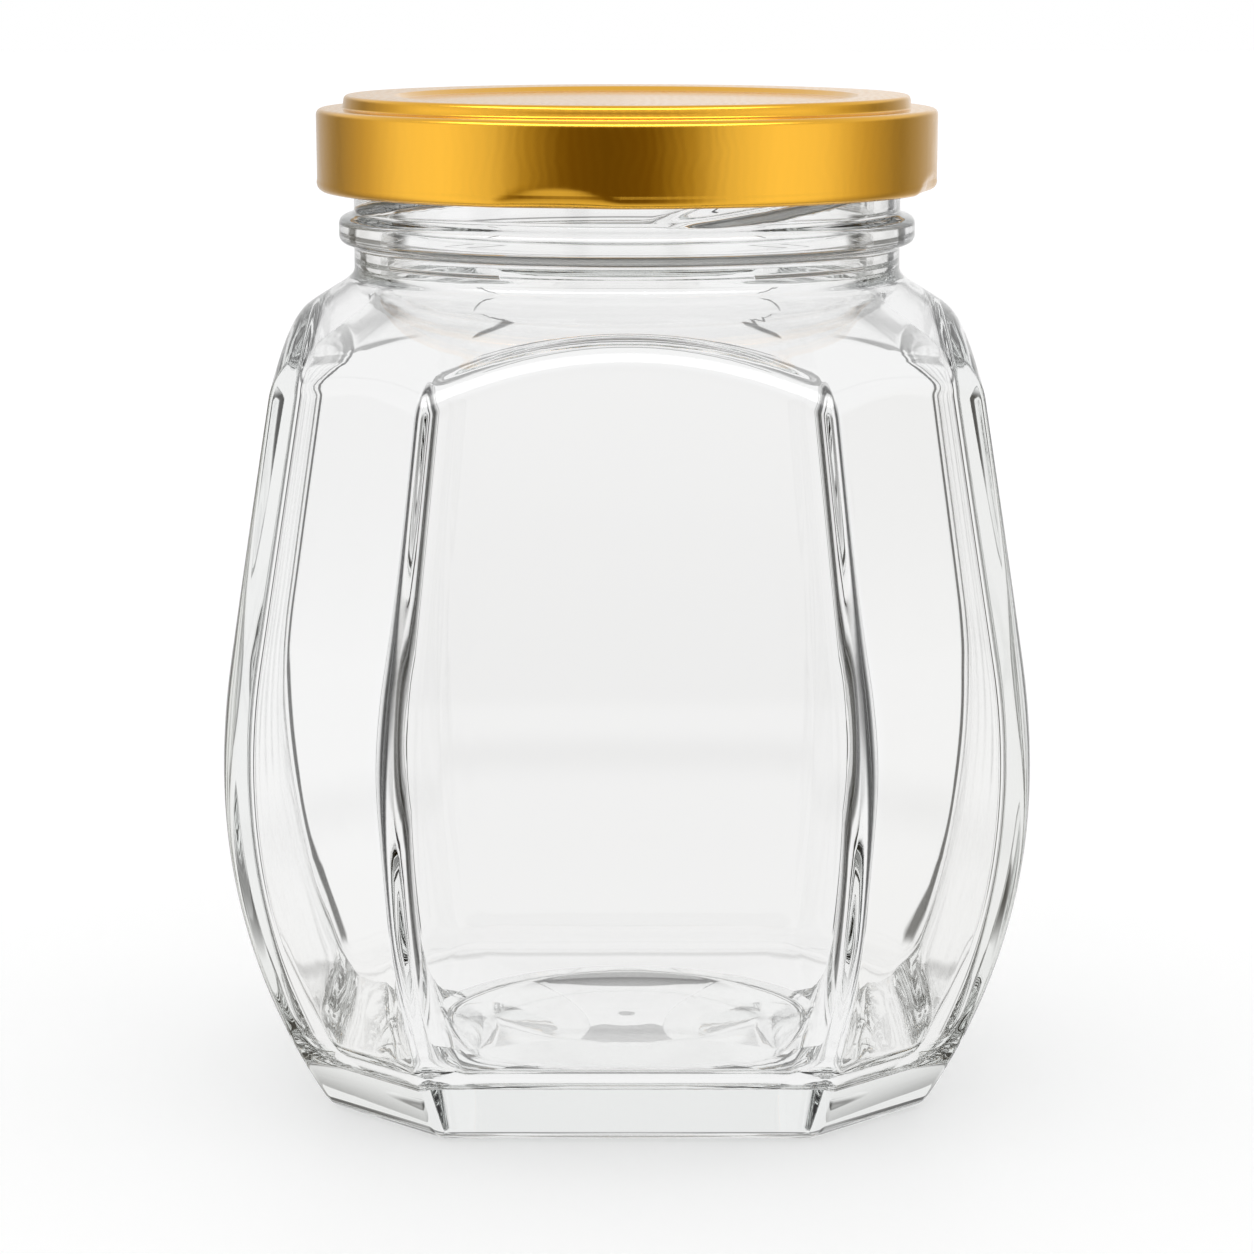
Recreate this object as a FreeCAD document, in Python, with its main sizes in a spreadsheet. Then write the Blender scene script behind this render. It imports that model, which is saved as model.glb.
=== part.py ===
import FreeCAD, Part
import math
import os

import Sketcher

# Octagonal glass jar with a twist-off lug lid, in millimetres, +Z up.
# The origin is the middle of the foot. The front of the jar faces -Y.
# The jar is one piece of moulded glass: a barrel of eight faces, four wide and
# four narrow at the corners, under a round shoulder and a threaded neck.
# The lid is one piece of pressed tinplate with a rolled edge and four lugs.

# Each driving size, its value and what it is. Directions round the axis are in
# degrees from +X.
DRIVING = [
    ("belly_half", 41.8, "half the width across two wide faces at the belly"),
    ("belly_level", 37.5, "height of the widest point"),
    ("belly_radius", 70.8, "radius of the barrel's curve, seen from the side"),
    ("taper_angle", 8.7, "lean of the wide faces above the belly, in degrees"),
    ("corner_offset", 4.55, "how much further out the four corner faces stand"),
    ("corner_taper", 10.2, "lean of the corner faces above the belly, in degrees"),
    ("ridge_rounding", 4.4, "rounding of the eight upright ridges"),
    ("heel_rounding", 2.2, "rounding round the foot"),
    ("push_up_radius", 22.0, "radius of the hollow under the foot"),
    ("push_up_depth", 1.4, "depth of the hollow under the foot"),
    ("shoulder_level", 86.9, "height where the shoulder meets the neck"),
    ("shoulder_radius", 78.0, "radius of the shoulder's dome, seen from the side"),
    ("shoulder_centre", 9.4, "how far past the axis the centre of that dome lies"),
    ("arch_rounding", 6.0, "rounding between a face and the shoulder"),
    ("neck_blend", 2.2, "hollow rounding between shoulder and neck"),
    ("neck_radius", 29.1, "outside of the neck"),
    ("neck_height", 18.7, "neck and sealing rim above the shoulder"),
    ("neck_wall", 2.75, "thickness of the neck"),
    ("rim_rounding", 1.2, "rounding of the sealing rim"),
    ("bead_rise", 3.3, "underside of the transfer bead above the shoulder"),
    ("bead_height", 2.9, "height of the transfer bead"),
    ("bead_width", 1.6, "how far the bead stands out from the neck"),
    ("bead_rounding", 0.9, "rounding of the bead's edges"),
    ("bead_blend", 0.5, "hollow rounding between bead and neck"),
    ("thread_count", 4, "number of thread starts"),
    ("thread_width", 1.9, "how far a thread stands out from the neck"),
    ("thread_section", 1.2, "radius of a thread's round section"),
    ("thread_bow", 5.1, "how much tighter than the neck a thread bows, to fade out at both ends"),
    ("thread_drop", 8.3, "middle of a thread below the rim"),
    ("thread_climb", 8.0, "climb of a thread, in degrees"),
    ("thread_turn", -38.0, "direction of the first thread's middle"),
    ("wall", 4.5, "thickness of the faces"),
    ("shoulder_wall", 3.6, "thickness of the shoulder"),
    ("floor_level", 6.6, "height of the inside floor at its edge"),
    ("floor_dome_radius", 15.0, "radius of the low dome in the middle of the floor"),
    ("floor_dome_height", 0.7, "height of that dome"),
    ("floor_rounding", 4.0, "rounding between floor and faces"),
    ("inner_ridge_rounding", 2.8, "rounding of the inside corners"),
    ("inner_arch_rounding", 3.5, "rounding between a face and the shoulder, inside"),
    ("inner_neck_rounding", 3.0, "rounding between shoulder and bore, inside"),
    ("rim_gap", 0.15, "clearance between the sealing rim and the lid"),
    ("lid_sheet", 0.25, "thickness of the tinplate"),
    ("lid_height", 10.1, "height of the whole lid"),
    ("skirt_gap", 1.75, "clearance between the threads and the skirt"),
    ("skirt_rounding", 1.2, "rounding between skirt and step"),
    ("ring_height", 1.35, "height of the raised ring above the step"),
    ("ring_gap", 0.95, "clearance between the neck and the raised ring's wall"),
    ("ring_rounding", 1.0, "rounding of the raised ring"),
    ("ring_blend", 0.4, "hollow rounding at the foot of the raised ring"),
    ("panel_gap", 2.35, "how far the sunk middle panel stays inside the bore"),
    ("panel_slope", 2.6, "width of the slope round the sunk panel"),
    ("panel_drop", 0.6, "depth of the sunk panel"),
    ("panel_rounding", 3.0, "rounding at both ends of that slope"),
    ("curl_radius", 0.8, "radius of the rolled edge"),
    ("lug_count", 4, "number of lugs"),
    ("lug_turn", -102.5, "direction of the first lug's middle"),
    ("lug_span", 20.0, "length of a lug round the lid, in degrees"),
    ("lug_gap", 1.1, "clearance between a lug and the neck"),
    ("lug_foot", 0.15, "underside of a lug above the lid's lowest edge"),
    ("lug_height", 1.1, "height of the part of a lug that grips the thread"),
    ("lug_backing", 2.0, "top of the pressed-in skirt behind a lug"),
    ("backing_gap", 0.35, "clearance between that pressed-in skirt and the thread"),
    ("dent_half_length", 9.0, "half the length of the dent outside a lug"),
    ("dent_height", 1.9, "height of the dent above the lid's lowest edge"),
    ("dent_depth", 0.7, "depth of the dent"),
]

# Sizes that follow from the driving ones. The rim, the threads and the whole lid
# hang from the top of the neck, and the lid's radii come from the neck's.
RIM = "(shoulder_level + neck_height)"
BEAD_FOOT = "(shoulder_level + bead_rise)"
BEAD_TOP = "(shoulder_level + bead_rise + bead_height)"
BEAD_RADIUS = "(neck_radius + bead_width)"
BORE_RADIUS = "(neck_radius - neck_wall)"
THREAD_RADIUS = "(neck_radius + thread_width)"
THREAD_BOW = "(neck_radius - thread_bow)"
THREAD_LEVEL = "(shoulder_level + neck_height - thread_drop)"
LID_TOP = "(shoulder_level + neck_height + rim_gap + lid_sheet)"
LID_FOOT = "(shoulder_level + neck_height + rim_gap + lid_sheet - lid_height)"
LEDGE = "(shoulder_level + neck_height + rim_gap + lid_sheet - ring_height)"
LID_RADIUS = "(neck_radius + thread_width + skirt_gap + lid_sheet)"
RING_RADIUS = "(neck_radius + ring_gap + lid_sheet)"
PANEL_RADIUS = "(neck_radius - neck_wall - panel_gap)"
# The round form that the faces are cut from stands outside the octagon's corners.
ROUND_RADIUS = "((belly_half + corner_offset) * 1.1)"
# The cutters for the faces reach well outside that.
CUTTER_REACH = "(belly_half * 2)"
# The shoulder's dome is one arc about a centre below it, and the cavity's dome is
# another about the same centre, nearer by the shoulder's thickness.
DOME_R = "(0 - shoulder_centre)"
DOME_Z = "(shoulder_level - sqrt(shoulder_radius^2 - (neck_radius + shoulder_centre)^2))"

SAME = 0.01

doc = FreeCAD.newDocument("octagonal_jar")
sheet = doc.addObject("Spreadsheet::Sheet", "dims")
for row, (alias, value, note) in enumerate(DRIVING, start=1):
    sheet.set("A%d" % row, note)
    sheet.set("B%d" % row, str(value))
    sheet.setAlias("B%d" % row, alias)
doc.recompute()
ALIASES = {alias for alias, value, note in DRIVING}


def sized(words):
    """An expression on the sheet: each named size gets the sheet's name in front."""
    out = ""
    word = ""
    for letter in words + " ":
        if letter.isalnum() or letter == "_":
            word += letter
            continue
        out += ("dims." + word if word in ALIASES else word) + letter
        word = ""
    return out.strip()


def value_of(words):
    """The number that an expression gives now."""
    result = sheet.evalExpression(sized(words))
    return float(getattr(result, "Value", result))


def origin_feature(body, role):
    """The plane or axis of a body's own origin that has a role."""
    for feature in body.Origin.OriginFeatures:
        if feature.Role == role:
            return feature
    raise ValueError("no origin feature with the role " + role)


def bind(sketch, number, label, words):
    """Names a sketch's constraint and ties it to the sheet."""
    sketch.renameConstraint(number, label)
    sketch.setExpression("Constraints." + label, sized(words))


def outline(body, name, corners, arcs=(), turn="0"):
    """A closed outline on the upright plane through the axis.

    corners are (radius, height) pairs of expressions. arcs gives, for the side that
    starts at a corner, the centre and radius that make it an arc. turn swings the
    plane about the axis.
    """
    sketch = body.newObject("Sketcher::SketchObject", name)
    sketch.AttachmentSupport = [(origin_feature(body, "XZ_Plane"), "")]
    sketch.MapMode = "FlatFace"
    swing = "placement(vector(0; 0; 0); rotation(vector(0; 1; 0); (%s) * 1deg))" % turn
    sketch.setExpression("AttachmentOffset", sized(swing))
    bent = dict(arcs)
    points = [FreeCAD.Vector(value_of(r), value_of(z), 0) for r, z in corners]
    first_end = []
    last_end = []
    for index, start in enumerate(points):
        end = points[(index + 1) % len(points)]
        forwards = True
        if index in bent:
            centre_r, centre_z, radius = bent[index]
            centre = FreeCAD.Vector(value_of(centre_r), value_of(centre_z), 0)
            low = math.atan2(start.y - centre.y, start.x - centre.x)
            high = math.atan2(end.y - centre.y, end.x - centre.x)
            forwards = (high - low) % (2 * math.pi) < math.pi
            if not forwards:
                low, high = high, low
            circle = Part.Circle(centre, FreeCAD.Vector(0, 0, 1), value_of(radius))
            sketch.addGeometry(Part.ArcOfCircle(circle, low, high), False)
        else:
            sketch.addGeometry(Part.LineSegment(start, end), False)
        first_end.append(1 if forwards else 2)
        last_end.append(2 if forwards else 1)
    for index, (r_words, z_words) in enumerate(corners):
        before = (index - 1) % len(points)
        joint = Sketcher.Constraint("Coincident", before, last_end[before], index, first_end[index])
        sketch.addConstraint(joint)
        for kind, axis, words in (("DistanceX", "r", r_words), ("DistanceY", "z", z_words)):
            place = Sketcher.Constraint(kind, -1, 1, index, first_end[index], value_of(words))
            bind(sketch, sketch.addConstraint(place), "corner_%d_%s" % (index, axis), words)
        if index in bent:
            radius = bent[index][2]
            curve = Sketcher.Constraint("Radius", index, value_of(radius))
            bind(sketch, sketch.addConstraint(curve), "arc_%d_radius" % index, radius)
    doc.recompute()
    return sketch


def revolved(body, name, sketch, angle="360"):
    """An outline turned about the jar's axis, evenly to both sides of its plane."""
    feature = body.newObject("PartDesign::Revolution", name)
    feature.Profile = sketch
    feature.ReferenceAxis = (sketch, ["V_Axis"])
    feature.Midplane = True
    feature.setExpression("Angle", sized("(%s) * 1deg" % angle))
    doc.recompute()
    return feature


def around(body, name, original, count):
    """Copies of a feature, evenly round the jar's axis."""
    pattern = body.newObject("PartDesign::PolarPattern", name)
    pattern.Originals = [original]
    pattern.Axis = (origin_feature(body, "Z_Axis"), [""])
    pattern.Angle = 360
    pattern.setExpression("Occurrences", sized(count))
    body.Tip = pattern
    doc.recompute()
    return pattern


def placed(body, kind, name, sizes, place):
    """A ready-made form with its sizes and its place tied to the sheet."""
    form = body.newObject(kind, name)
    form.AttachmentSupport = [(origin_feature(body, "XY_Plane"), "")]
    form.MapMode = "FlatFace"
    form.setExpression("AttachmentOffset", sized(place))
    for label, words in sizes.items():
        form.setExpression(label, sized(words))
    doc.recompute()
    return form


def at(radius, height, turn, roll="0"):
    """A place at a radius and height in a direction, rolled about that direction."""
    return "placement(vector(%s * cos(%s * 1deg); %s * sin(%s * 1deg); %s); rotation(%s; 0; %s))" % (
        radius,
        turn,
        radius,
        turn,
        height,
        turn,
        roll,
    )


def rounded(body, name, base, radius, wanted):
    """A fillet on every edge of base that the test wanted picks."""
    names = ["Edge%d" % (i + 1) for i, edge in enumerate(base.Shape.Edges) if wanted(edge)]
    fillet = body.newObject("PartDesign::Fillet", name)
    fillet.Base = (base, names)
    fillet.setExpression("Radius", sized(radius))
    doc.recompute()
    return fillet


def heights(edge):
    """The lower and the upper end of an edge."""
    ends = [vertex.Z for vertex in edge.Vertexes]
    return min(ends), max(ends)


def off_axis(edge):
    """Distance from the axis of the nearer end of an edge."""
    return min(math.hypot(vertex.X, vertex.Y) for vertex in edge.Vertexes)


def ring_at(radius, *levels):
    """A test for the closed circle of a radius at one of some levels."""
    return lambda edge: (
        edge.Closed
        and abs(off_axis(edge) - value_of(radius)) < SAME
        and any(abs(edge.Vertexes[0].Z - value_of(level)) < SAME for level in levels)
    )


def dome_height(radius, thickness):
    """Height of the dome at a distance from the axis, a thickness inside the glass."""
    return "(%s + sqrt((shoulder_radius - %s)^2 - (%s - %s)^2))" % (
        DOME_Z,
        thickness,
        radius,
        DOME_R,
    )


def low_dome(radius, height, foot):
    """Centre and radius of the arc that rises by a height over the axis."""
    bend = "((%s^2 + %s^2) / (2 * %s))" % (radius, height, height)
    return "0", "%s + %s - %s" % (foot, height, bend), bend


def eight_faces(body, prefix, base_level, inset):
    """Cuts the wide faces and the corner faces into a round form.

    Seen from the side a face is an arc through the belly that runs on upwards as a
    straight taper that ends with the shoulder. The corner faces stand further out and
    lean in more.
    """
    for label, offset, lean, turn in (
        ("wide", "0", "taper_angle", "0"),
        ("corner", "corner_offset", "corner_taper", "45"),
    ):
        middle = "(belly_half + %s - %s - belly_radius)" % (offset, inset)
        bend_r = middle + " + belly_radius * cos(%s * 1deg)" % lean
        bend_z = "(belly_level + belly_radius * sin(%s * 1deg))" % lean
        top_r = "%s - (shoulder_level - %s) * tan(%s * 1deg)" % (bend_r, bend_z, lean)
        base_r = middle + " + sqrt(belly_radius^2 - (belly_level - %s)^2)" % base_level
        corners = [
            (base_r, base_level),
            (bend_r, bend_z),
            (top_r, "shoulder_level"),
            (CUTTER_REACH, "shoulder_level"),
            (CUTTER_REACH, base_level),
        ]
        arcs = {0: (middle, "belly_level", "belly_radius")}
        cut = body.newObject("PartDesign::Pocket", prefix + label + "_cut")
        cut.Profile = outline(body, prefix + label + "_outline", corners, arcs, turn)
        cut.Midplane = True
        cut.setExpression("Length", sized(CUTTER_REACH + " * 2"))
        doc.recompute()
        faces = around(body, prefix + label + "_faces", cut, "4")
    return faces


def soften(body, prefix, base, ridge, arch, foot):
    """Rounds the ridges, then the arches under the shoulder, then the foot."""
    neck = value_of("shoulder_level")
    outside_neck = value_of("neck_radius") + 1
    bend = value_of("belly_level + belly_radius * sin(max(taper_angle; corner_taper) * 1deg)")
    outer = [edge for edge in base.Shape.Edges if off_axis(edge) > outside_neck]
    floor = min(heights(edge)[0] for edge in outer)
    shortest_ridge = value_of("belly_radius * sin(taper_angle * 1deg)") / 2

    def is_ridge(edge):
        low, high = heights(edge)
        return off_axis(edge) > outside_neck and high - low > shortest_ridge and high < neck

    def is_arch(edge):
        low, high = heights(edge)
        return off_axis(edge) > outside_neck and low > bend + 1 and high < neck

    def is_foot(edge):
        return off_axis(edge) > outside_neck * 0.8 and heights(edge)[1] < floor + SAME

    ridges = rounded(body, prefix + "ridges", base, ridge, is_ridge)
    arches = rounded(body, prefix + "arches", ridges, arch, is_arch)
    return rounded(body, prefix + "foot", arches, foot, is_foot)


def make_cavity():
    """The inside of the jar: the barrel again, smaller and with softer corners."""
    body = doc.addObject("PartDesign::Body", "cavity")
    shoulder_end = dome_height(BORE_RADIUS, "shoulder_wall")
    above_rim = RIM + " + lid_height"
    corners = [
        ("0", "floor_level + floor_dome_height"),
        ("floor_dome_radius", "floor_level"),
        (ROUND_RADIUS, "floor_level"),
        (ROUND_RADIUS, dome_height(ROUND_RADIUS, "shoulder_wall")),
        (BORE_RADIUS, shoulder_end),
        (BORE_RADIUS, above_rim),
        ("0", above_rim),
    ]
    arcs = {
        0: low_dome("floor_dome_radius", "floor_dome_height", "floor_level"),
        3: (DOME_R, DOME_Z, "(shoulder_radius - shoulder_wall)"),
    }
    revolved(body, "cavity_round", outline(body, "cavity_outline", corners, arcs))
    faces = eight_faces(body, "cavity_", "floor_level", "wall")
    soft = soften(
        body, "cavity_", faces, "inner_ridge_rounding", "inner_arch_rounding", "floor_rounding"
    )
    rounded(body, "cavity_neck", soft, "inner_neck_rounding", ring_at(BORE_RADIUS, shoulder_end))
    return body


def make_jar(cavity):
    """The glass: a round form cut to eight faces, with bead, threads and cavity."""
    body = doc.addObject("PartDesign::Body", "glass_jar")
    corners = [
        ("0", "push_up_depth"),
        ("push_up_radius", "0"),
        (ROUND_RADIUS, "0"),
        (ROUND_RADIUS, dome_height(ROUND_RADIUS, "0")),
        ("neck_radius", "shoulder_level"),
        ("neck_radius", BEAD_FOOT),
        (BEAD_RADIUS, BEAD_FOOT),
        (BEAD_RADIUS, BEAD_TOP),
        ("neck_radius", BEAD_TOP),
        ("neck_radius", RIM),
        ("0", RIM),
    ]
    arcs = {
        0: low_dome("push_up_radius", "push_up_depth", "0"),
        3: (DOME_R, DOME_Z, "shoulder_radius"),
    }
    revolved(body, "jar_round", outline(body, "jar_outline", corners, arcs))
    form = eight_faces(body, "jar_", "0", "0")
    form = soften(body, "jar_", form, "ridge_rounding", "arch_rounding", "heel_rounding")
    for name, radius, wanted in (
        ("neck_foot", "neck_blend", ring_at("neck_radius", "shoulder_level")),
        ("bead_edges", "bead_rounding", ring_at(BEAD_RADIUS, BEAD_FOOT, BEAD_TOP)),
        ("bead_feet", "bead_blend", ring_at("neck_radius", BEAD_FOOT, BEAD_TOP)),
    ):
        form = rounded(body, name, form, radius, wanted)
    # A thread is part of a ring whose bow is tighter than the neck's, so it rises
    # out of the neck and sinks back into it. It leans to climb to the right.
    out = "(%s - thread_section - %s)" % (THREAD_RADIUS, THREAD_BOW)
    thread = placed(
        body,
        "PartDesign::AdditiveTorus",
        "thread",
        {"Radius1": THREAD_BOW, "Radius2": "thread_section"},
        at(out, THREAD_LEVEL, "thread_turn", "thread_climb"),
    )
    around(body, "threads", thread, "thread_count")
    hollow = body.newObject("PartDesign::Boolean", "hollow")
    hollow.Type = "Cut"
    hollow.Group = [cavity]
    doc.recompute()
    lips = ring_at("neck_radius", RIM), ring_at(BORE_RADIUS, RIM)
    rim = rounded(body, "rim", hollow, "rim_rounding", lambda edge: any(lip(edge) for lip in lips))
    body.Tip = rim
    doc.recompute()
    return body


def make_lid():
    """The tinplate lid: a pressed shell, its rolled edge and its lugs."""
    body = doc.addObject("PartDesign::Body", "lid")
    roll = "(%s + curl_radius)" % LID_FOOT
    panel = "(%s - panel_drop)" % LID_TOP
    slope_top = "(%s + panel_slope)" % PANEL_RADIUS
    corners = [
        ("0", roll),
        (LID_RADIUS, roll),
        (LID_RADIUS, LEDGE),
        (RING_RADIUS, LEDGE),
        (RING_RADIUS, LID_TOP),
        (slope_top, LID_TOP),
        (PANEL_RADIUS, panel),
        ("0", panel),
    ]
    form = revolved(body, "lid_form", outline(body, "lid_outline", corners))
    for name, radius, wanted in (
        ("skirt_edge", "skirt_rounding", ring_at(LID_RADIUS, LEDGE)),
        ("ring_edge", "ring_rounding", ring_at(RING_RADIUS, LID_TOP)),
        ("ring_foot", "ring_blend", ring_at(RING_RADIUS, LEDGE)),
        ("slope_edge", "panel_rounding", ring_at(slope_top, LID_TOP)),
        ("panel_edge", "panel_rounding", ring_at(PANEL_RADIUS, panel)),
    ):
        form = rounded(body, name, form, radius, wanted)
    levels = [face.CenterOfMass.z for face in form.Shape.Faces]
    shell = body.newObject("PartDesign::Thickness", "shell")
    shell.Base = (form, ["Face%d" % (levels.index(min(levels)) + 1)])
    shell.Reversed = True
    shell.setExpression("Value", sized("lid_sheet"))
    doc.recompute()
    placed(
        body,
        "PartDesign::AdditiveTorus",
        "curl",
        {"Radius1": LID_RADIUS + " - curl_radius", "Radius2": "curl_radius"},
        at("0", roll, "0"),
    )
    # A lug is a low step under the thread, with the pressed-in skirt behind it.
    step = "(%s + lug_foot)" % LID_FOOT
    grip = "(%s + lug_height)" % step
    backing = "(%s + lug_backing)" % LID_FOOT
    inner = "(neck_radius + lug_gap)"
    back = "(%s + backing_gap)" % THREAD_RADIUS
    corners = [
        (inner, step),
        (LID_RADIUS + " - curl_radius", step),
        (LID_RADIUS + " - lid_sheet / 2", backing),
        (back, backing),
        (back, grip),
        (inner, grip),
    ]
    lug = revolved(body, "lug", outline(body, "lug_outline", corners, turn="lug_turn"), "lug_span")
    around(body, "lugs", lug, "lug_count")
    dent = placed(
        body,
        "PartDesign::SubtractiveEllipsoid",
        "dent",
        {"Radius1": "dent_height", "Radius2": "dent_depth * 2", "Radius3": "dent_half_length"},
        at("(%s + dent_depth)" % LID_RADIUS, LID_FOOT, "lug_turn"),
    )
    around(body, "dents", dent, "lug_count")
    return body


jar = make_jar(make_cavity())
lid = make_lid()
doc.recompute()
for item in doc.Objects:
    if {"Invalid", "Error"} & set(item.State):
        raise RuntimeError(item.Name + " failed")
os.makedirs("parts", exist_ok=True)
for body in (jar, lid):
    shape = body.Shape
    if shape.isNull() or not shape.isValid() or len(shape.Solids) != 1:
        raise RuntimeError(body.Label + " is not one valid solid")
    shape.exportStep(os.path.join("parts", body.Label + ".step"))
    print(body.Label, "volume %.1f mm3" % shape.Volume)
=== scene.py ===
import math

import bpy
import numpy as np
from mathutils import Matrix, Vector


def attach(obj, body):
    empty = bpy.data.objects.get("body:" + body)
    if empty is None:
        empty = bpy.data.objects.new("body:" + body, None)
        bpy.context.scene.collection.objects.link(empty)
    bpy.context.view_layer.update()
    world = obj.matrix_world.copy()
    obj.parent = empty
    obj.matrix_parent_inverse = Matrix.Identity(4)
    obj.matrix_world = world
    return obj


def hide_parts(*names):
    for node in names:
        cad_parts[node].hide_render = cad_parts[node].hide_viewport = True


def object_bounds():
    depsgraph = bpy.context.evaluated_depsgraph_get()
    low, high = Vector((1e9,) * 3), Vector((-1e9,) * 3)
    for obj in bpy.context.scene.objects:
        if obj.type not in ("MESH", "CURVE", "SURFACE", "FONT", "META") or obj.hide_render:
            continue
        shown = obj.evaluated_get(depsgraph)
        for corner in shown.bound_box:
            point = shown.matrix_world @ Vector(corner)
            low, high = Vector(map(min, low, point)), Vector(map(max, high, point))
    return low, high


# A clear glass jar with eight faces and a gold twist-off lid.
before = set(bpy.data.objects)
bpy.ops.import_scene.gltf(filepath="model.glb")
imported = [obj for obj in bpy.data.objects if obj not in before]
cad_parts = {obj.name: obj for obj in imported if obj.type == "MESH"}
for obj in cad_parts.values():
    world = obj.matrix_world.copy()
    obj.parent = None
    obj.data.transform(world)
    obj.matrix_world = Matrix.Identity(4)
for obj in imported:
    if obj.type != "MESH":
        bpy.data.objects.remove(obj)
cad_box = [[float(c) for c in corner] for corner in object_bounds()]
scene = bpy.context.scene
scene.view_settings.view_transform = "Standard"


# ---------------------------------------------------------------------------
# The glass jar. One piece of soda-lime glass, blown in a two-part mould: eight
# faces that belly out, a round shoulder and a neck with a bead and four thread
# starts. The foot is thick, and the inside corners are rounder than the outside.
# ---------------------------------------------------------------------------
# Sizes are in millimetres, and the meshes are written in metres.
MM = 0.001
# The faces: four wide ones, and four across the corners that stand further out.
belly_half = round(cad_box[1][0] / MM, 2)
belly_level = 37.5
belly_radius = 70.8
corner_offset = 4.55
wide_lean = math.radians(8.7)
corner_lean = math.radians(10.2)
# The shoulder: an arc turned round the axis, which ends at the neck.
neck_radius = 29.1
shoulder_level = 86.9
dome_radius = 78.0
dome_r = -9.4
dome_z = shoulder_level - math.sqrt(dome_radius**2 - (neck_radius - dome_r) ** 2)
# The glass: its thickness, the floor, the neck's bore and the rim.
wall = 4.5
shoulder_wall = 3.6
floor_level = 6.6
floor_crown = 0.7
bore_radius = 26.35
rim_level = 105.6
# The shallow hollow under the foot.
push_up_radius = 22.0
push_up_depth = 0.9


def face_distance(z, offset, lean):
    """Distance of a face from the axis: an arc about the belly, then its tangent upwards."""
    bend_z = belly_level + belly_radius * math.sin(lean)
    low = np.minimum(z, bend_z) - belly_level
    arc = belly_half + offset - belly_radius + np.sqrt(belly_radius**2 - low**2)
    return arc - np.maximum(z - bend_z, 0.0) * math.tan(lean)


def ramp(x, low, high):
    """0 below low, 1 above high, with a smooth S between them: 3 t^2 - 2 t^3."""
    t = np.clip((x - low) / (high - low), 0.0, 1.0)
    return t * t * (3.0 - 2.0 * t)


def round_both(a, b, k):
    """Inside both of two forms: the larger distance, with a quarter circle of radius k
    where the two are alike."""
    both = np.hypot(np.maximum(a + k, 0.0), np.maximum(b + k, 0.0))
    return np.minimum(np.maximum(a, b), -k) + both


def soft_max(a, b, k):
    """The larger of two values, with a hollow blend of width k where they meet."""
    h = np.maximum(k - np.abs(a - b), 0.0) / k
    return np.maximum(a, b) + h * h * k / 4.0


def barrel(x, y, z, inset, k):
    """Below zero inside the eight faces, set in by the inset, with ridges rounded by k."""
    face = face_distance(z, 0.0, wide_lean) - inset
    corner = face_distance(z, corner_offset, corner_lean) - inset
    wide = np.maximum(np.abs(x), np.abs(y)) - face
    across = (np.abs(x) + np.abs(y)) / math.sqrt(2.0) - corner
    return round_both(wide, across, k)


def dome(x, y, z, inset):
    """Below zero inside the shoulder's dome: distance from its arc's centre, less its radius."""
    return np.hypot(np.hypot(x, y) - dome_r, z - dome_z) - (dome_radius - inset)


def ridge_rounding(z):
    """Width of a ridge at a height: crisp at both ends, and a bell curve over the belly."""
    crisp, fuller, fullest_level = 1.9, 4.2, 43.0
    spread = np.where(z > fullest_level, 13.0, 9.5)
    return crisp + fuller * np.exp(-(((z - fullest_level) / spread) ** 2))


def outside(x, y, z):
    """Below zero inside the jar's outer form, without its neck: faces, dome and foot."""
    arch, heel = 1.56, 1.6
    form = barrel(x, y, z, 0.0, 0.26 * ridge_rounding(z))
    form = round_both(form, dome(x, y, z, 0.0), arch)
    return round_both(form, -z, heel)


def inside(x, y, z):
    """Below zero inside the cavity, without the neck's bore.

    It is the outer form set in by the wall. The blown inside is never quite even, so
    low waves run up it: two sines of the direction round the axis, twisted by height.
    """
    ridge, ridge_at_floor, arch, floor_corner = 0.8, 2.0, 0.7, 3.2
    wave_height, crown_radius = 0.006, 15.0
    near_floor = 1.0 - ramp(z, floor_level, 28.0)
    turn = np.arctan2(y, x)
    waves = np.sin(31.0 * turn + 0.04 * z) + 0.7 * np.sin(53.0 * turn - 0.03 * z + 2.0)
    form = barrel(x, y, z, wall, ridge + ridge_at_floor * near_floor**2) + wave_height * waves
    form = round_both(form, dome(x, y, z, shoulder_wall), arch)
    r = np.hypot(x, y)
    floor = floor_level + floor_crown * (1.0 - np.minimum(r / crown_radius, 1.0) ** 2)
    return round_both(form, floor - z, floor_corner)


def reach(form, start_z, along, lift):
    """Distance from the axis to a form's surface, from a height and in a direction.

    Along a line that leaves the axis at an angle of lift, the gap between a point
    inside the form and one outside it is halved forty times.
    """
    low = np.zeros(np.broadcast(start_z, along[0], lift).shape)
    high = low + 70.0
    level, rise = np.cos(lift), np.sin(lift)
    for _ in range(40):
        middle = 0.5 * (low + high)
        is_in = form(middle * level * along[0], middle * level * along[1], start_z + middle * rise) < 0.0
        low = np.where(is_in, middle, low)
        high = np.where(is_in, high, middle)
    return 0.5 * (low + high)


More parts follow.
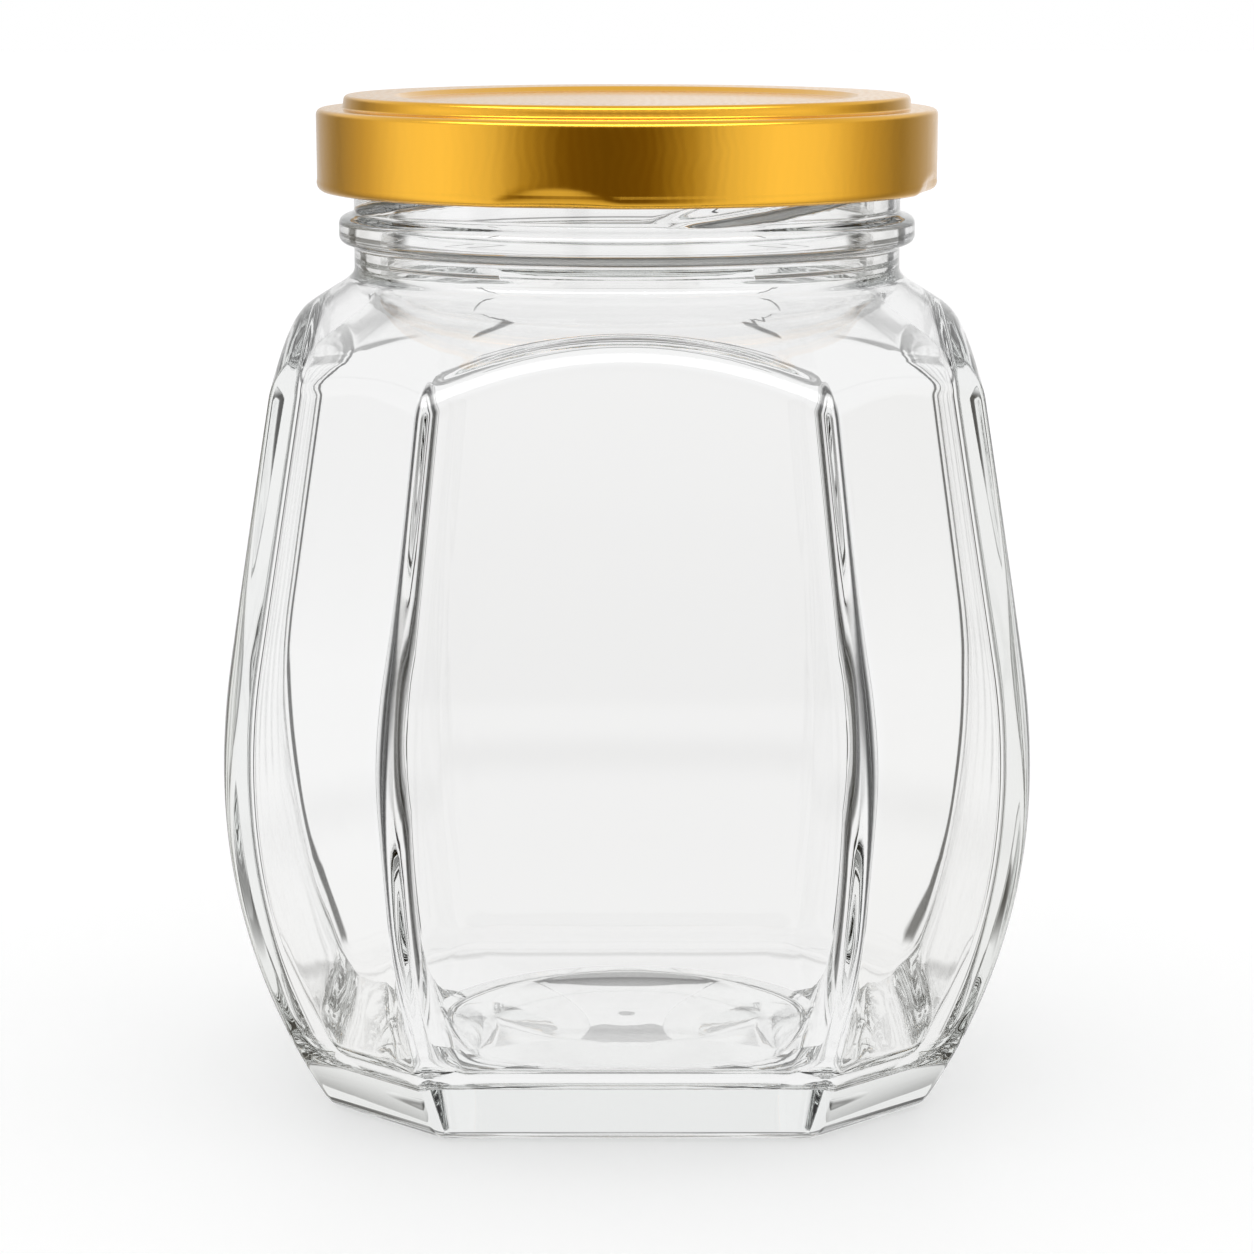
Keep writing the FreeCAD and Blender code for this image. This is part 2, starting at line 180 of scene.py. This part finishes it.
def columns(z, inset, rounding):
    """Directions round the axis at each height, closer together on the ridges.

    Each eighth runs from the middle of a wide face, over a ridge, to the middle of a
    corner face; the eighths are mirrored and turned to make the whole round.
    """
    face = face_distance(z, 0.0, wide_lean) - inset
    corner = face_distance(z, corner_offset, corner_lean) - inset
    ridge_at = np.arctan2(math.sqrt(2.0) * corner - face, face)[:, None]
    # The band of closer columns, in radians, is wider where the ridge is rounder.
    half_band = 0.007 + 0.011 * (rounding * np.ones_like(z))[:, None]
    on_face = np.linspace(0.0, 1.0, 11, endpoint=False)[None, :] * (ridge_at - half_band)
    on_ridge = ridge_at + np.linspace(-1.0, 1.0, 8, endpoint=False)[None, :] * half_band
    ridge_end = ridge_at + half_band
    on_corner = ridge_end + np.linspace(0.0, 1.0, 7)[None, :] * (math.pi / 4.0 - ridge_end)
    eighth = np.concatenate([on_face, on_ridge, on_corner], axis=1)
    quarter = np.concatenate([eighth, (math.pi / 2.0 - eighth)[:, -2:0:-1]], axis=1)
    return np.concatenate([quarter + math.pi / 2.0 * turn for turn in range(4)], axis=1)


def arch_level(angle, inset):
    """Height at which the flat faces run out into the dome, in each direction.

    The height is found by halving: below it the face is nearer the axis than the
    dome, and above it further.
    """
    dome_reach = dome_radius - (shoulder_wall if inset else 0.0)
    x, y = np.abs(np.cos(angle)), np.abs(np.sin(angle))
    low = np.full(angle.shape, 60.0)
    high = np.full(angle.shape, 88.0)
    for _ in range(30):
        z = 0.5 * (low + high)
        face = face_distance(z, 0.0, wide_lean) - inset
        corner = face_distance(z, corner_offset, corner_lean) - inset
        flat = np.minimum(face / np.maximum(x, y), corner * math.sqrt(2.0) / (x + y))
        is_low = flat < dome_r + np.sqrt(dome_reach**2 - (z - dome_z) ** 2)
        low = np.where(is_low, z, low)
        high = np.where(is_low, high, z)
    return 0.5 * (low + high)


def ring_rows(form, heights, inset, rounding, lift=0.0):
    """Points on a form, one ring a row.

    The rings are level, or sink from the axis outwards by an angle, and near the
    shoulder they bow so that one of them runs along the arches.
    """
    z = np.asarray(heights, float)[:, None]
    angle = columns(z[:, 0], inset, rounding)
    arch = arch_level(angle, inset)
    top = arch.max()
    z = z + (arch - top) * ramp(z, 66.0, top) * (1.0 - ramp(z, top, 88.0))
    lift = lift * np.ones((len(z), 1))
    along = np.cos(angle), np.sin(angle)
    r = reach(form, z, along, lift)
    level = r * np.cos(lift)
    return np.stack([level * along[0], level * along[1], z + r * np.sin(lift)], -1)


def blended_out(rows, radius, k):
    """Rings pushed out to a radius where they lie inside it, with a hollow blend."""
    r = np.hypot(rows[..., 0], rows[..., 1])[..., None]
    return np.concatenate([rows[..., :2] / r * soft_max(r, radius, k), rows[..., 2:]], -1)


def arc_path(corners, roundings, step):
    """A profile through corners, each rounded by its radius, in steps of a length."""
    corners = np.asarray(corners, float)
    path = [corners[0]]
    for before, corner, after, radius in zip(corners, corners[1:], corners[2:], roundings):
        u = (before - corner) / np.linalg.norm(before - corner)
        v = (after - corner) / np.linalg.norm(after - corner)
        half = 0.5 * math.acos(np.clip(u @ v, -1.0, 1.0))
        back = radius / math.tan(half)
        middle = corner + (u + v) / np.linalg.norm(u + v) * radius / math.sin(half)
        a = corner + u * back - middle
        b = corner + v * back - middle
        turn = math.pi - 2.0 * half
        count = max(4, int(turn * radius / step))
        t = np.linspace(0.0, 1.0, count + 1)[:, None]
        path += list(middle + (np.sin((1.0 - t) * turn) * a + np.sin(t * turn) * b) / math.sin(turn))
    path.append(corners[-1])
    out = [path[0][None]]
    for start, end in zip(path, path[1:]):
        count = max(1, int(np.linalg.norm(end - start) / step))
        out.append(start + (end - start) * (np.arange(1, count + 1) / count)[:, None])
    return np.concatenate(out)


def threads(angle, r, z):
    """The four threads on the neck: each climbs and is a bowed ring that fades at both ends.

    A thread's crest is an arc tighter than the neck, so it sinks into the neck away
    from its middle; its section is a half circle.
    """
    bow, section, climb = 24.0, 1.2, math.tan(math.radians(8.0))
    middle, level, crest_radius = math.radians(-38.0), 97.3, 31.0
    quarter = math.pi / 2.0
    nearest = (angle - middle + quarter / 2.0) % quarter - quarter / 2.0
    for shift in (-quarter, 0.0, quarter):
        along = nearest + shift
        offset = crest_radius - section - bow
        bowed = offset * np.cos(along) + np.sqrt(bow**2 - (offset * np.sin(along)) ** 2)
        away = z - level - climb * (crest_radius - section) * along
        crest = bowed + np.sqrt(np.maximum(section**2 - away**2, 0.0))
        r = soft_max(r, np.where((np.abs(away) < section) & (np.abs(along) < 0.9), crest, 0.0), 0.25)
    return r


def smooth_shell(name, rows, first_pole, last_pole):
    """A closed mesh from rings of points: quads between rings, and a fan to a pole at each end."""
    count, around, _ = rows.shape
    vertices = np.vstack([rows.reshape(-1, 3), last_pole, first_pole]) * MM
    index = np.arange(count * around).reshape(count, around)
    onward = np.roll(index, -1, axis=1)
    quads = np.stack([index[:-1], onward[:-1], onward[1:], index[1:]], -1).reshape(-1, 4)
    last_fan = np.stack([index[-1], onward[-1], np.full(around, count * around)], -1)
    first_fan = np.stack([onward[0], index[0], np.full(around, count * around + 1)], -1)
    mesh = bpy.data.meshes.new(name)
    mesh.from_pydata(vertices.tolist(), [], quads.tolist() + last_fan.tolist() + first_fan.tolist())
    mesh.update()
    mesh.shade_smooth()
    piece = bpy.data.objects.new(name, mesh)
    scene.collection.objects.link(piece)
    return piece


def spaced(low, high, step):
    """Heights from low up to high, without high itself, in even steps."""
    return np.linspace(low, high, max(1, int(round(abs(high - low) / step))), endpoint=False)


def shares(count):
    """Shares of a whole from 0 up to 1, without 1 itself."""
    return np.linspace(0.0, 1.0, count, endpoint=False)


# The outside, from the rim of the foot up to the neck's foot. The rows lie closer on
# the rounded heel and round the arches.
heel_top, arch_foot, neck_blend_foot, neck_foot = 4.0, 74.0, 85.0, 89.5
heights = np.concatenate(
    [
        heel_top * shares(16) ** 2,
        spaced(heel_top, arch_foot, 1.0),
        spaced(arch_foot, neck_blend_foot, 0.24),
    ]
)
outer = ring_rows(outside, heights, 0.0, ridge_rounding(heights))
shoulder = ring_rows(outside, spaced(neck_blend_foot, neck_foot, 0.18), 0.0, 2.0)
shoulder = blended_out(shoulder, neck_radius, 1.6)

# Under the foot, a shallow hollow. A flat skin lies below it: its rows run in to the
# axis, where the outside's first row is.
unit = outer[0, :, :2] / np.hypot(outer[0, :, 0], outer[0, :, 1])[:, None]
hollow_r = 0.4 + push_up_radius * shares(7)
skin_r = (0.4 + push_up_radius) * (1.0 - shares(4))
hollow_z = push_up_depth * (1.0 - (hollow_r / push_up_radius) ** 2)
foot_r = np.concatenate([hollow_r, skin_r])[:, None, None]
foot_z = np.concatenate([hollow_z, np.zeros_like(skin_r)])[:, None, None]
foot = np.concatenate([unit * foot_r, foot_z * np.ones_like(unit[:, :1])], -1)

# The neck: bead and threads outside, the sealing rim, then the bore.
bead_low, bead_high, bead_radius = 90.2, 93.1, 30.7
bore_foot = 88.5
neck_path = arc_path(
    [
        (neck_radius, neck_foot),
        (neck_radius, bead_low),
        (bead_radius, bead_low + 0.35),
        (bead_radius, bead_high),
        (neck_radius, bead_high + 0.5),
        (neck_radius, rim_level),
        (bore_radius, rim_level),
        (bore_radius, bore_foot),
    ],
    [0.5, 0.9, 0.9, 0.5, 1.2, 1.2],
    0.3,
)
angle = columns(np.full(len(neck_path), neck_blend_foot), 0.0, 2.0)
neck_r = neck_path[:, :1] * np.ones_like(angle)
neck_z = neck_path[:, 1:] * np.ones_like(angle)
is_threaded = (neck_r > neck_radius - 1.0e-9) & (neck_z > bead_high)
neck_r = np.where(is_threaded, threads(angle, neck_r, neck_z), neck_r)
neck = np.stack([neck_r * np.cos(angle), neck_r * np.sin(angle), neck_z], -1)

# The inside, down from the bore. From the bowl's height on, the rings sink outwards
# until the last one closes on the middle of the floor.
bowl_level, bore_blend_foot = 30.0, 80.0
heights = np.concatenate([spaced(bore_foot, 72.0, 0.3), spaced(72.0, bowl_level, 1.0)])
inner = ring_rows(inside, heights, wall, 2.8)
is_high = (heights > bore_blend_foot)[:, None, None]
inner = np.where(is_high, blended_out(inner, bore_radius, 2.2), inner)
sink = np.concatenate([0.9 * shares(76), np.linspace(0.9, 1.55, 28)])[:, None]
bowl = ring_rows(inside, np.full(len(sink), bowl_level), wall, 2.8, -sink)

rows = np.concatenate([foot, outer, shoulder, neck, inner, bowl])
jar = smooth_shell("jar", rows, (0.0, 0.0, push_up_depth), (0.0, 0.0, floor_level + floor_crown))

# Clear glass with a faint grey-green body. Light for the shadow passes straight through.
glass = bpy.data.materials.new("clear_glass")
glass.use_nodes = True
nodes, links = glass.node_tree.nodes, glass.node_tree.links
nodes.clear()
surface = nodes.new("ShaderNodeBsdfPrincipled")
surface.inputs["Base Color"].default_value = (1.0, 1.0, 1.0, 1.0)
surface.inputs["Roughness"].default_value = 0.0
surface.inputs["IOR"].default_value = 1.52
surface.inputs["Transmission Weight"].default_value = 1.0
# Blown glass is faintly uneven over a centimetre or so.
where = nodes.new("ShaderNodeTexCoord")
uneven = nodes.new("ShaderNodeTexNoise")
uneven.inputs["Scale"].default_value = 70.0
uneven.inputs["Detail"].default_value = 1.0
swell = nodes.new("ShaderNodeBump")
swell.inputs["Strength"].default_value = 0.1
swell.inputs["Distance"].default_value = 0.0001
links.new(where.outputs["Object"], uneven.inputs["Vector"])
links.new(uneven.outputs["Fac"], swell.inputs["Height"])
links.new(swell.outputs["Normal"], surface.inputs["Normal"])
clear = nodes.new("ShaderNodeBsdfTransparent")
clear.inputs["Color"].default_value = (0.93, 0.94, 0.935, 1.0)
ray = nodes.new("ShaderNodeLightPath")
mix = nodes.new("ShaderNodeMixShader")
links.new(ray.outputs["Is Shadow Ray"], mix.inputs["Fac"])
links.new(surface.outputs["BSDF"], mix.inputs[1])
links.new(clear.outputs["BSDF"], mix.inputs[2])
tint = nodes.new("ShaderNodeVolumeAbsorption")
tint.inputs["Color"].default_value = (0.72, 0.76, 0.74, 1.0)
tint.inputs["Density"].default_value = 5.0
out = nodes.new("ShaderNodeOutputMaterial")
links.new(mix.outputs["Shader"], out.inputs["Surface"])
links.new(tint.outputs["Volume"], out.inputs["Volume"])
jar.data.materials.append(glass)
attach(jar, "root")
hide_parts("glass_jar")


# ---------------------------------------------------------------------------
# The lid. Tinplate 0.25 mm thick, pressed to a skirt, a step, a raised ring and a
# sunk middle, with its edge rolled inwards. Four lugs are pressed into the rolled
# edge. It is lacquered gold and gripped by the threads.
# ---------------------------------------------------------------------------
lid_top = round(cad_box[1][2] / MM, 2)
lid_foot = 95.9
sheet = 0.25
middle_level = lid_top - 0.6
lid_hole = 0.4
skirt_radius = 33.0
# From the middle of the inner side outwards, down the skirt, round the rolled edge,
# up the outside and over the ring to the middle again: (radius, height), rounding.
lid_profile = [
    ((lid_hole, middle_level - sheet), 0.0),
    ((23.9, middle_level - sheet), 0.6),
    ((24.7, lid_top - 0.1 - sheet), 0.6),
    ((27.2, lid_top + 0.02 - sheet), 6.0),
    ((29.75, lid_top - 0.06 - sheet), 0.25),
    ((29.95, lid_top - 1.35 - sheet), 0.2),
    ((skirt_radius - sheet, lid_top - 1.45 - sheet), 0.4),
    ((32.7, lid_foot + 3.0), 0.2),
    ((32.6, lid_foot + 1.9), 0.3),
    ((31.4, lid_foot + 1.6), 0.5),
    ((31.4, lid_foot), 0.75),
    ((skirt_radius, lid_foot), 0.85),
    ((skirt_radius, lid_foot + 1.0), 0.2),
    ((32.95, lid_foot + 1.3), 0.3),
    ((skirt_radius, lid_top - 1.45), 0.62),
    ((30.2, lid_top - 1.35), 0.22),
    ((30.0, lid_top - 0.06), 0.45),
    ((27.2, lid_top + 0.02), 8.0),
    ((24.7, lid_top - 0.1), 0.5),
    ((23.9, middle_level), 0.5),
    ((lid_hole, middle_level), 0.0),
]
corners, roundings = zip(*lid_profile)
lid_path = arc_path(corners, roundings[1:-1], 0.36)
turn = 2.0 * math.pi * shares(344)[None, :]
lid_r = lid_path[:, :1] * np.ones_like(turn)
lid_z = lid_path[:, 1:] * np.ones_like(turn)
# Each lug: the rolled edge and the skirt's foot are pressed inwards, by a dent that
# fades from its middle as (1 - s^2)^1.4, where s is 1 on an ellipse round it.
first_lug, lug_depth, lug_half_length, lug_height = math.radians(-102.5), 0.8, 6.6, 2.2
from_lug = (turn - first_lug + math.pi / 4.0) % (math.pi / 2.0) - math.pi / 4.0
away = (from_lug * skirt_radius / lug_half_length) ** 2
away = away + (np.maximum(lid_z - lid_foot, 0.0) / lug_height) ** 2
dent = lug_depth * np.maximum(1.0 - away, 0.0) ** 1.4
lid_r = lid_r - np.where(lid_r > 31.0, dent, 0.0)
lid_rows = np.stack([lid_r * np.cos(turn), lid_r * np.sin(turn), lid_z], -1)
lid = smooth_shell("lid_cap", lid_rows, (0.0, 0.0, middle_level - sheet), (0.0, 0.0, middle_level))

gold = bpy.data.materials.new("gold_lacquer")
gold.use_nodes = True
nodes, links = gold.node_tree.nodes, gold.node_tree.links
metal = nodes["Principled BSDF"]
metal.inputs["Base Color"].default_value = (0.86, 0.45, 0.035, 1.0)
metal.inputs["Metallic"].default_value = 1.0
metal.inputs["Coat Weight"].default_value = 0.25
metal.inputs["Coat Roughness"].default_value = 0.06
# Faint curled wiping marks in the lacquer, in its gloss and its relief.
where = nodes.new("ShaderNodeTexCoord")
marks = nodes.new("ShaderNodeTexWave")
marks.wave_type = "BANDS"
marks.inputs["Scale"].default_value = 300.0
marks.inputs["Distortion"].default_value = 9.0
marks.inputs["Detail"].default_value = 2.0
marks.inputs["Detail Scale"].default_value = 0.7
gloss = nodes.new("ShaderNodeMapRange")
gloss.inputs["To Min"].default_value = 0.16
gloss.inputs["To Max"].default_value = 0.20
scratch = nodes.new("ShaderNodeBump")
scratch.inputs["Strength"].default_value = 0.10
scratch.inputs["Distance"].default_value = 0.00002
links.new(where.outputs["Object"], marks.inputs["Vector"])
links.new(marks.outputs["Fac"], gloss.inputs["Value"])
links.new(gloss.outputs["Result"], metal.inputs["Roughness"])
links.new(marks.outputs["Fac"], scratch.inputs["Height"])
links.new(scratch.outputs["Normal"], metal.inputs["Normal"])
lid.data.materials.append(gold)

# The side that faces the jar has a pale lacquer, sprayed a little thicker in places.
pale_inside = bpy.data.materials.new("pale_lacquer")
pale_inside.use_nodes = True
nodes, links = pale_inside.node_tree.nodes, pale_inside.node_tree.links
enamel = nodes["Principled BSDF"]
enamel.inputs["Base Color"].default_value = (0.62, 0.62, 0.60, 1.0)
where = nodes.new("ShaderNodeTexCoord")
sprayed = nodes.new("ShaderNodeTexNoise")
sprayed.inputs["Scale"].default_value = 150.0
gloss = nodes.new("ShaderNodeMapRange")
gloss.inputs["To Min"].default_value = 0.28
gloss.inputs["To Max"].default_value = 0.42
links.new(where.outputs["Object"], sprayed.inputs["Vector"])
links.new(sprayed.outputs["Fac"], gloss.inputs["Value"])
links.new(gloss.outputs["Result"], enamel.inputs["Roughness"])
lid.data.materials.append(pale_inside)
# It ends on the underside of the rolled edge, a few rows short of its outer end. The
# faces come ring by ring from the inner side's middle, and that middle's fan comes last.
rows_of_gold_below = 6
pale_rows = np.flatnonzero(lid_path[:, 1] < lid_foot + 0.01)[-1] - rows_of_gold_below
is_pale = np.zeros(len(lid.data.polygons), int)
is_pale[: pale_rows * turn.size] = 1
is_pale[-turn.size :] = 1
lid.data.polygons.foreach_set("material_index", is_pale)
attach(lid, "root")
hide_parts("lid")


# ---------------------------------------------------------------------------
# The table top: a pale matt board that carries the jar's shadow. The glass and the
# gold show the studio's light instead of it.
# ---------------------------------------------------------------------------
front, back, half = -0.50, 4.0, 3.0
edge = [(-half, front, 0.0), (half, front, 0.0), (half, back, 0.0), (-half, back, 0.0)]
table_mesh = bpy.data.meshes.new("table")
table_mesh.from_pydata(edge, [], [(0, 1, 2, 3)])
table = bpy.data.objects.new("table", table_mesh)
scene.collection.objects.link(table)
table.visible_transmission = False
table.visible_glossy = False
pale = bpy.data.materials.new("pale_table")
pale.use_nodes = True
nodes, links = pale.node_tree.nodes, pale.node_tree.links
board = nodes["Principled BSDF"]
board.inputs["Base Color"].default_value = (0.72, 0.72, 0.72, 1.0)
board.inputs["Roughness"].default_value = 0.5
board.inputs["Specular IOR Level"].default_value = 0.1
board.inputs["Emission Color"].default_value = (1.0, 1.0, 1.0, 1.0)
path = nodes.new("ShaderNodeLightPath")
lift = nodes.new("ShaderNodeMath")
lift.operation = "MULTIPLY"
lift.inputs[1].default_value = 0.31
links.new(path.outputs["Is Camera Ray"], lift.inputs[0])
links.new(lift.outputs[0], board.inputs["Emission Strength"])
table.data.materials.append(pale)


# ---------------------------------------------------------------------------
# The light: a white studio all round. Clear glass and polished metal show only what
# stands round them, so the glass is given dark gaps between white panels, and the
# gold a dim room in front, bright screens at the sides and a row of lamps above.
# ---------------------------------------------------------------------------
world = bpy.data.worlds.new("studio")
scene.world = world
world.use_nodes = True
nodes, links = world.node_tree.nodes, world.node_tree.links
background = nodes["Background"]
where = nodes.new("ShaderNodeTexCoord")
split = nodes.new("ShaderNodeSeparateXYZ")
links.new(where.outputs["Generated"], split.inputs[0])


def calculated(operation, *values):
    """One step of arithmetic on numbers or on other nodes' results."""
    node = nodes.new("ShaderNodeMath")
    node.operation = operation
    for socket, value in zip(node.inputs, values):
        if isinstance(value, float):
            socket.default_value = value
        else:
            links.new(value, socket)
    return node.outputs[0]


def eased(value, low, high, start, end):
    """A number that runs smoothly from start to end while value runs from low to high."""
    node = nodes.new("ShaderNodeMapRange")
    node.interpolation_type = "SMOOTHSTEP"
    for name, number in (("From Min", low), ("From Max", high), ("To Min", start), ("To Max", end)):
        node.inputs[name].default_value = number
    links.new(value, node.inputs["Value"])
    return node.outputs["Result"]


def between(value, low, low_full, high_full, high):
    """1 from low_full to high_full, falling smoothly to 0 at low and at high."""
    return calculated(
        "MULTIPLY", eased(value, low, low_full, 0.0, 1.0), eased(value, high_full, high, 1.0, 0.0)
    )


def blended(share, first, second):
    """The first brightness or colour where share is 0, the second where it is 1."""
    node = nodes.new("ShaderNodeMix")
    node.data_type = "RGBA"
    links.new(share, node.inputs["Factor"])
    for socket, value in zip((node.inputs[6], node.inputs[7]), (first, second)):
        if isinstance(value, float):
            socket.default_value = (value, value, value, 1.0)
        else:
            links.new(value, socket)
    return node.outputs[2]


up = split.outputs["Z"]
turn_round = calculated("ARCTAN2", split.outputs["X"], calculated("MULTIPLY", split.outputs["Y"], -1.0))

# Through the glass: white panels, with dark gaps halfway between the eight main
# directions, and a dark strip low over the table's far edge.
panels = calculated("COSINE", calculated("MULTIPLY", turn_round, 8.0))
gaps = calculated("MULTIPLY", eased(panels, -0.94, -0.55, 1.0, 0.0), between(up, -0.50, -0.36, 0.10, 0.26))
strip = between(up, 0.04, 0.10, 0.12, 0.20)
gaps = calculated("MAXIMUM", gaps, calculated("MULTIPLY", strip, 0.75))
through_glass = blended(gaps, 0.925, 0.03)

# In the gold, by direction from a little left of the front (0) round to the back (1):
# how bright it is there, and its tint.
from_front = calculated("DIVIDE", calculated("ABSOLUTE", calculated("ADD", turn_round, 0.12)), math.pi)
warm = (1.0, 0.70, 0.12)
plain = (1.0, 1.0, 1.0)
round_the_room = (
    (0.00, 0.14, warm),
    (0.09, 0.17, warm),
    (0.17, 0.45, (1.0, 0.88, 0.50)),
    (0.24, 0.90, plain),
    (0.35, 1.20, plain),
    (0.46, 1.10, plain),
    (0.58, 0.62, (1.0, 0.92, 0.70)),
    (0.70, 0.32, (1.0, 0.90, 0.60)),
    (0.85, 0.55, plain),
    (0.98, 0.92, plain),
)
room = nodes.new("ShaderNodeValToRGB")
links.new(from_front, room.inputs["Fac"])
elements = room.color_ramp.elements
while len(elements) < len(round_the_room):
    elements.new(0.5)
for element, (place, bright, colour) in zip(elements, round_the_room):
    element.position = place
    element.color = (*(bright * part for part in colour), 1.0)

# Above the screens is a plain ceiling with a row of lamps, which leaves out the back.
ceiling, lamp = 0.85, 6.0
mirrored = blended(between(up, -0.98, -0.45, 0.14, 0.42), ceiling, room.outputs["Color"])
lamps = calculated("MULTIPLY", between(up, 0.48, 0.56, 0.70, 0.78), eased(from_front, 0.25, 0.50, 1.0, 0.0))
mirrored = blended(lamps, mirrored, lamp)

path = nodes.new("ShaderNodeLightPath")
seen = blended(path.outputs["Is Glossy Ray"], 1.0, mirrored)
seen = blended(path.outputs["Is Transmission Ray"], seen, through_glass)
links.new(seen, background.inputs["Color"])
background.inputs["Strength"].default_value = 1.0

# A ray crosses four walls of thick glass, and runs on inside them.
scene.cycles.max_bounces = 24
scene.cycles.transmission_bounces = 24
scene.cycles.glossy_bounces = 16


# ---------------------------------------------------------------------------
# The camera, a little above the jar's shoulder and looking slightly down.
# ---------------------------------------------------------------------------
lens = bpy.data.cameras.new("camera")
lens.sensor_width = 36.0
lens.lens = 112.536
camera = bpy.data.objects.new("camera", lens)
camera.location = (0.0, -0.420, 0.122)
camera.rotation_euler = (math.radians(90.0 - 9.93), 0.0, 0.0)
scene.collection.objects.link(camera)
scene.camera = camera
